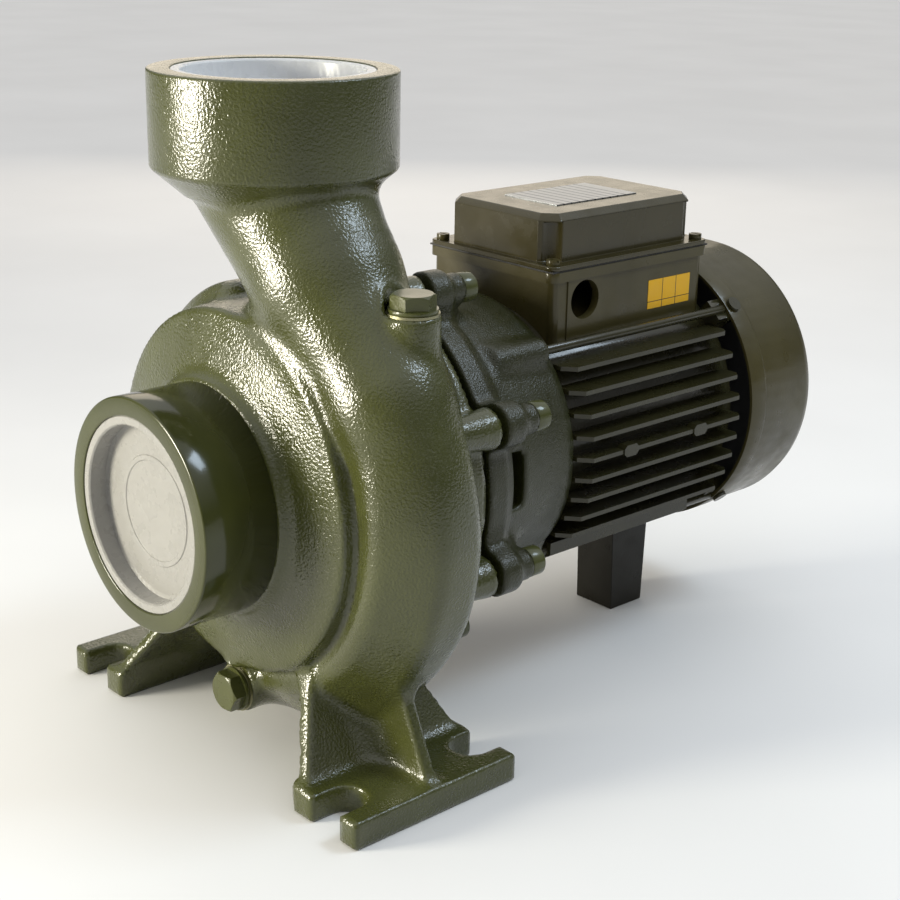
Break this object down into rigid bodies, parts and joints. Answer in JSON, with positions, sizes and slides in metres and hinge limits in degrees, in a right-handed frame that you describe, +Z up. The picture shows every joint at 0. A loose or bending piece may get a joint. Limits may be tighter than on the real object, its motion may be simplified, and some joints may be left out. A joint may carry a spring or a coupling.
{
  "type": "centrifugal water pump",
  "caption": "Close-coupled end-suction water pump: round volute casing with large threaded ports, slotted feet, and a finned electric motor behind it.",
  "frame": {"origin": "on the base plane that the feet stand on, straight under the discharge port's axis, in the vertical plane of the shaft", "axes": "+Z up out of the discharge port, -Y out of the suction port along the shaft, +Y along the shaft to the fan end, +X to the right looking into the suction port"},
  "size_m": [0.2995, 0.4915, 0.398],
  "materials": {
    "casing_paint": "gloss olive paint over an as-cast skin",
    "bracket_paint": "olive paint over an as-cast skin",
    "motor_paint": "satin dark olive paint",
    "lid_paint": "satin olive paint",
    "fastener_paint": "olive paint over steel",
    "cap_plastic": "white push-in plastic",
    "sealing_metal": "flat sealing ring, painted over",
    "bronze": "machined bronze",
    "cover_iron": "machined grey iron",
    "bare_steel": "machined steel",
    "black_rubber": "moulded rubber",
    "seal_ceramic": "lapped ceramic",
    "seal_carbon": "lapped carbon",
    "lamination_steel": "stacked laminations",
    "winding_copper": "enamelled copper, varnished",
    "cage_aluminium": "cast aluminium",
    "black_plastic": "moulded plastic",
    "plate_metal": "brushed blank plate",
    "label_film": "blank yellow film"
  },
  "bodies": {
    "pump_frame": {"pump_casing": "casing_paint", "lantern_bracket": "bracket_paint", "motor_frame": "motor_paint", "rear_endshield": "motor_paint", "fan_cover": "motor_paint", "terminal_box": "motor_paint", "motor_support": "motor_paint", "terminal_lid": "lid_paint", "casing_screws": "fastener_paint", "tie_rods": "fastener_paint", "lid_screws": "fastener_paint", "fan_cover_screws": "fastener_paint", "support_screws": "fastener_paint", "wear_ring": "bronze", "terminal_studs": "bronze", "seal_cover": "cover_iron", "front_bearing_outer": "bare_steel", "rear_bearing_outer": "bare_steel", "wave_washer": "bare_steel", "cover_ring": "black_rubber", "seal_seat_cup": "black_rubber", "lid_gasket": "black_rubber", "seal_seat": "seal_ceramic", "stator_core": "lamination_steel", "stator_windings": "winding_copper", "terminal_block": "black_plastic", "nameplate": "plate_metal", "notice_label": "label_film"},
    "rotor": {"shaft": "bare_steel", "impeller": "bronze", "impeller_key": "bare_steel", "impeller_washer": "bare_steel", "impeller_nut": "bare_steel", "seal_face_ring": "seal_carbon", "seal_bellows": "black_rubber", "seal_spring": "bare_steel", "slinger": "black_rubber", "front_bearing_inner": "bare_steel", "front_bearing_balls": "bare_steel", "rear_bearing_inner": "bare_steel", "rear_bearing_balls": "bare_steel", "rotor_core": "lamination_steel", "rotor_rings": "cage_aluminium", "cooling_fan": "black_plastic", "fan_clip": "bare_steel"},
    "suction_transit_cap": {"suction_cap": "cap_plastic"},
    "discharge_transit_cap": {"discharge_cap": "cap_plastic"},
    "priming_plug_body": {"priming_plug": "fastener_paint", "priming_washer": "sealing_metal"},
    "drain_plug_body": {"drain_plug": "fastener_paint", "drain_washer": "sealing_metal"}
  },
  "joints": [
    {"name": "shaft_spin", "type": "hinge", "parent": "pump_frame", "child": "rotor", "pos_m": [0, 0, 0.16], "axis": [0, -1, 0], "continuous": true},
    {"name": "suction_cap_pull", "type": "slide", "parent": "pump_frame", "child": "suction_transit_cap", "axis": [0, -1, 0], "range_m": [0, 0.12]},
    {"name": "discharge_cap_pull", "type": "slide", "parent": "pump_frame", "child": "discharge_transit_cap", "axis": [0, 0, 1], "range_m": [0, 0.12]},
    {"name": "priming_plug_lift", "type": "slide", "parent": "pump_frame", "child": "priming_plug_body", "axis": [0, 0, 1], "range_m": [0, 0.035]},
    {"name": "drain_plug_draw", "type": "slide", "parent": "pump_frame", "child": "drain_plug_body", "axis": [0, -1, 0], "range_m": [0, 0.035]}
  ]
}
